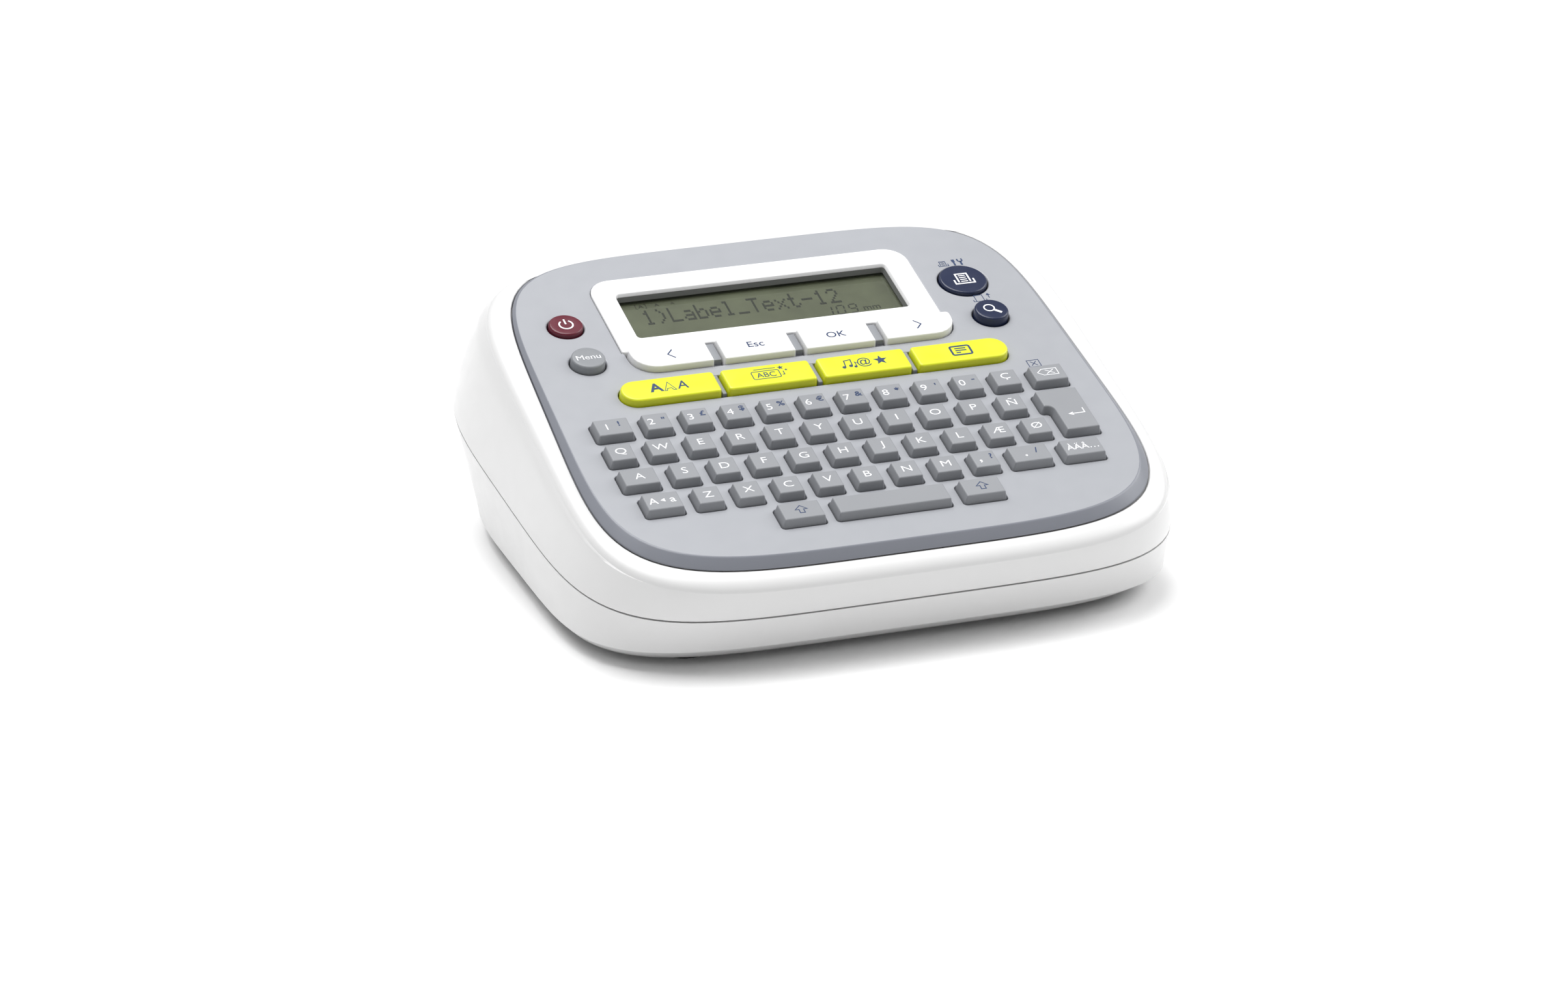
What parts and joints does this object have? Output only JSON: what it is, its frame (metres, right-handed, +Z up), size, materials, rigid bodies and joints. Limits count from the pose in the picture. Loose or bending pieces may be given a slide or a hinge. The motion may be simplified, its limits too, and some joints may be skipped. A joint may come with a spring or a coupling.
{
  "type": "label maker",
  "caption": "Desktop label maker with a sloping keypad panel, recessed display, function buttons, rubber keys, tape cassette, print mechanism, rear cutter lever and underside cover.",
  "frame": {"origin": "centre of the bounding box's footprint, on the surface the feet stand on", "axes": "+Z up, +X to the right of someone facing the keypad, front (keypad's low edge) towards -Y"},
  "size_m": [0.165, 0.1552, 0.0676],
  "materials": {
    "white_shell": "satin",
    "grey_panel": "satin",
    "white_trim": "satin",
    "clear_window": "clear",
    "display": "reflective liquid crystal",
    "grey_key": "matte",
    "white_key": "satin",
    "lime_key": "satin",
    "navy_key": "satin",
    "burgundy_key": "satin",
    "membrane": "matte",
    "board": "solder mask",
    "cell": "printed sleeve",
    "contact": "nickel plated",
    "cassette": "satin",
    "tape": "satin",
    "spool": "matte",
    "steel": "zinc plated",
    "head": "glazed",
    "black_plastic": "matte",
    "platen_rubber": "matte",
    "gear_plastic": "satin",
    "feet": "matte",
    "flex": "polyimide film"
  },
  "bodies": {
    "body": {"lower_housing": "white_shell", "upper_housing": "white_shell", "keypad_panel": "grey_panel", "display_surround": "white_trim", "display_window": "clear_window", "lcd_module": "display", "key_membrane": "membrane", "keyboard_board": "board", "main_board": "board", "display_cable": "flex", "batteries": "cell", "battery_contacts": "contact", "cassette_case": "cassette", "label_tape": "tape", "mechanism_plate": "steel", "print_head": "head", "motor": "steel", "cutter_spring": "contact", "dc_jack": "black_plastic", "case_screws": "steel", "rubber_feet": "feet"},
    "battery_cover": {"battery_cover": "white_shell"},
    "roller_holder": {"roller_holder": "black_plastic"},
    "platen": {"platen_roller": "platen_rubber", "platen_gear": "gear_plastic"},
    "gear_first": {"gear_first": "gear_plastic"},
    "gear_second": {"gear_second": "gear_plastic", "ribbon_takeup_spool": "spool"},
    "motor_pinion": {"motor_pinion": "gear_plastic"},
    "tape_spool": {"tape_spool": "tape"},
    "ribbon_supply_spool": {"ribbon_supply_spool": "spool"},
    "cutter": {"cutter_lever": "black_plastic", "cutter_blade": "steel"},
    "button_power": {"button_power": "burgundy_key"},
    "button_menu": {"button_menu": "grey_key"},
    "button_print": {"button_print": "navy_key"},
    "button_preview": {"button_preview": "navy_key"},
    "button_left": {"button_left": "white_key"},
    "button_escape": {"button_escape": "white_key"},
    "button_ok": {"button_ok": "white_key"},
    "button_right": {"button_right": "white_key"},
    "button_style": {"button_style": "lime_key"},
    "button_frame": {"button_frame": "lime_key"},
    "button_symbol": {"button_symbol": "lime_key"},
    "button_template": {"button_template": "lime_key"},
    "keys_number_left": {"keys_number_left": "grey_key"},
    "keys_number_right": {"keys_number_right": "grey_key"},
    "keys_upper_left": {"keys_upper_left": "grey_key"},
    "keys_upper_right": {"keys_upper_right": "grey_key"},
    "keys_home_left": {"keys_home_left": "grey_key"},
    "keys_home_right": {"keys_home_right": "grey_key"},
    "keys_lower_left": {"keys_lower_left": "grey_key"},
    "keys_lower_right": {"keys_lower_right": "grey_key"},
    "key_case": {"key_case": "grey_key"},
    "key_backspace": {"key_backspace": "grey_key"},
    "key_accent": {"key_accent": "grey_key"},
    "key_shift_left": {"key_shift_left": "grey_key"},
    "key_space": {"key_space": "grey_key"},
    "key_shift_right": {"key_shift_right": "grey_key"},
    "key_enter": {"key_enter": "grey_key"}
  },
  "joints": [
    {"name": "button_power_press", "type": "slide", "parent": "body", "child": "button_power", "axis": [0, 0.3027, -0.9531], "range_m": [0, 0.0008], "stiffness_N_per_m": 500, "springref_m": -0.0004},
    {"name": "button_menu_press", "type": "slide", "parent": "body", "child": "button_menu", "axis": [0, 0.3027, -0.9531], "range_m": [0, 0.0008], "stiffness_N_per_m": 500, "springref_m": -0.0004},
    {"name": "button_print_press", "type": "slide", "parent": "body", "child": "button_print", "axis": [0, 0.3027, -0.9531], "range_m": [0, 0.0008], "stiffness_N_per_m": 500, "springref_m": -0.0004},
    {"name": "button_preview_press", "type": "slide", "parent": "body", "child": "button_preview", "axis": [0, 0.3027, -0.9531], "range_m": [0, 0.0008], "stiffness_N_per_m": 500, "springref_m": -0.0004},
    {"name": "button_left_press", "type": "slide", "parent": "body", "child": "button_left", "axis": [0, 0.3027, -0.9531], "range_m": [0, 0.0008], "stiffness_N_per_m": 500, "springref_m": -0.0004},
    {"name": "button_escape_press", "type": "slide", "parent": "body", "child": "button_escape", "axis": [0, 0.3027, -0.9531], "range_m": [0, 0.0008], "stiffness_N_per_m": 500, "springref_m": -0.0004},
    {"name": "button_ok_press", "type": "slide", "parent": "body", "child": "button_ok", "axis": [0, 0.3027, -0.9531], "range_m": [0, 0.0008], "stiffness_N_per_m": 500, "springref_m": -0.0004},
    {"name": "button_right_press", "type": "slide", "parent": "body", "child": "button_right", "axis": [0, 0.3027, -0.9531], "range_m": [0, 0.0008], "stiffness_N_per_m": 500, "springref_m": -0.0004},
    {"name": "button_style_press", "type": "slide", "parent": "body", "child": "button_style", "axis": [0, 0.3027, -0.9531], "range_m": [0, 0.0008], "stiffness_N_per_m": 500, "springref_m": -0.0004},
    {"name": "button_frame_press", "type": "slide", "parent": "body", "child": "button_frame", "axis": [0, 0.3027, -0.9531], "range_m": [0, 0.0008], "stiffness_N_per_m": 500, "springref_m": -0.0004},
    {"name": "button_symbol_press", "type": "slide", "parent": "body", "child": "button_symbol", "axis": [0, 0.3027, -0.9531], "range_m": [0, 0.0008], "stiffness_N_per_m": 500, "springref_m": -0.0004},
    {"name": "button_template_press", "type": "slide", "parent": "body", "child": "button_template", "axis": [0, 0.3027, -0.9531], "range_m": [0, 0.0008], "stiffness_N_per_m": 500, "springref_m": -0.0004},
    {"name": "keys_number_left_press", "type": "slide", "parent": "body", "child": "keys_number_left", "axis": [0, 0.3027, -0.9531], "range_m": [0, 0.0008], "stiffness_N_per_m": 500, "springref_m": -0.0004},
    {"name": "keys_number_right_press", "type": "slide", "parent": "body", "child": "keys_number_right", "axis": [0, 0.3027, -0.9531], "range_m": [0, 0.0008], "stiffness_N_per_m": 500, "springref_m": -0.0004},
    {"name": "keys_upper_left_press", "type": "slide", "parent": "body", "child": "keys_upper_left", "axis": [0, 0.3027, -0.9531], "range_m": [0, 0.0008], "stiffness_N_per_m": 500, "springref_m": -0.0004},
    {"name": "keys_upper_right_press", "type": "slide", "parent": "body", "child": "keys_upper_right", "axis": [0, 0.3027, -0.9531], "range_m": [0, 0.0008], "stiffness_N_per_m": 500, "springref_m": -0.0004},
    {"name": "keys_home_left_press", "type": "slide", "parent": "body", "child": "keys_home_left", "axis": [0, 0.3027, -0.9531], "range_m": [0, 0.0008], "stiffness_N_per_m": 500, "springref_m": -0.0004},
    {"name": "keys_home_right_press", "type": "slide", "parent": "body", "child": "keys_home_right", "axis": [0, 0.3027, -0.9531], "range_m": [0, 0.0008], "stiffness_N_per_m": 500, "springref_m": -0.0004},
    {"name": "keys_lower_left_press", "type": "slide", "parent": "body", "child": "keys_lower_left", "axis": [0, 0.3027, -0.9531], "range_m": [0, 0.0008], "stiffness_N_per_m": 500, "springref_m": -0.0004},
    {"name": "keys_lower_right_press", "type": "slide", "parent": "body", "child": "keys_lower_right", "axis": [0, 0.3027, -0.9531], "range_m": [0, 0.0008], "stiffness_N_per_m": 500, "springref_m": -0.0004},
    {"name": "key_case_press", "type": "slide", "parent": "body", "child": "key_case", "axis": [0, 0.3027, -0.9531], "range_m": [0, 0.0008], "stiffness_N_per_m": 500, "springref_m": -0.0004},
    {"name": "key_backspace_press", "type": "slide", "parent": "body", "child": "key_backspace", "axis": [0, 0.3027, -0.9531], "range_m": [0, 0.0008], "stiffness_N_per_m": 500, "springref_m": -0.0004},
    {"name": "key_accent_press", "type": "slide", "parent": "body", "child": "key_accent", "axis": [0, 0.3027, -0.9531], "range_m": [0, 0.0008], "stiffness_N_per_m": 500, "springref_m": -0.0004},
    {"name": "key_shift_left_press", "type": "slide", "parent": "body", "child": "key_shift_left", "axis": [0, 0.3027, -0.9531], "range_m": [0, 0.0008], "stiffness_N_per_m": 500, "springref_m": -0.0004},
    {"name": "key_space_press", "type": "slide", "parent": "body", "child": "key_space", "axis": [0, 0.3027, -0.9531], "range_m": [0, 0.0008], "stiffness_N_per_m": 500, "springref_m": -0.0004},
    {"name": "key_shift_right_press", "type": "slide", "parent": "body", "child": "key_shift_right", "axis": [0, 0.3027, -0.9531], "range_m": [0, 0.0008], "stiffness_N_per_m": 500, "springref_m": -0.0004},
    {"name": "key_enter_press", "type": "slide", "parent": "body", "child": "key_enter", "axis": [0, 0.3027, -0.9531], "range_m": [0, 0.0008], "stiffness_N_per_m": 500, "springref_m": -0.0004},
    {"name": "battery_cover_hinge", "type": "hinge", "parent": "body", "child": "battery_cover", "pos_m": [0, -0.0068, 0.0029], "axis": [-1, 0, 0], "range_deg": [0, 80]},
    {"name": "roller_holder_hinge", "type": "hinge", "parent": "body", "child": "roller_holder", "pos_m": [-0.0643, 0.0372, 0.01], "axis": [0, 0, -1], "range_deg": [0, 3], "stiffness_Nm_per_rad": 0.3, "springref_deg": -17.19},
    {"name": "platen_spin", "type": "hinge", "parent": "roller_holder", "child": "platen", "pos_m": [-0.05916, 0.018, 0.03], "axis": [0, 0, 1], "continuous": true},
    {"name": "gear_first_spin", "type": "hinge", "parent": "body", "child": "gear_first", "pos_m": [-0.02295, 0.03445, 0.03], "axis": [0, 0, 1], "continuous": true},
    {"name": "gear_second_spin", "type": "hinge", "parent": "body", "child": "gear_second", "pos_m": [-0.0383, 0.02359, 0.03], "axis": [0, 0, 1], "continuous": true},
    {"name": "motor_spin", "type": "hinge", "parent": "body", "child": "motor_pinion", "pos_m": [-0.0205, 0.0543, 0.03], "axis": [0, 0, 1], "continuous": true},
    {"name": "tape_spool_spin", "type": "hinge", "parent": "body", "child": "tape_spool", "pos_m": [-0.0166, 0.0095, 0.014], "axis": [0, 0, 1], "continuous": true},
    {"name": "ribbon_supply_spin", "type": "hinge", "parent": "body", "child": "ribbon_supply_spool", "pos_m": [-0.027, 0.031, 0.014], "axis": [0, 0, 1], "continuous": true},
    {"name": "cutter_hinge", "type": "hinge", "parent": "body", "child": "cutter", "pos_m": [-0.0485, 0.059, 0.014], "axis": [0, 0, -1], "range_deg": [0, 15], "stiffness_Nm_per_rad": 0.15, "springref_deg": -8.59, "deforming": ["cutter_spring"]}
  ],
  "couplings": [
    {"joint": "motor_spin", "follows": "gear_first_spin", "ratio": -4},
    {"joint": "gear_second_spin", "follows": "gear_first_spin", "ratio": -0.46875},
    {"joint": "platen_spin", "follows": "gear_first_spin", "ratio": 0.68182},
    {"joint": "tape_spool_spin", "follows": "gear_first_spin", "ratio": -0.20353},
    {"joint": "ribbon_supply_spin", "follows": "gear_first_spin", "ratio": -0.41322}
  ]
}
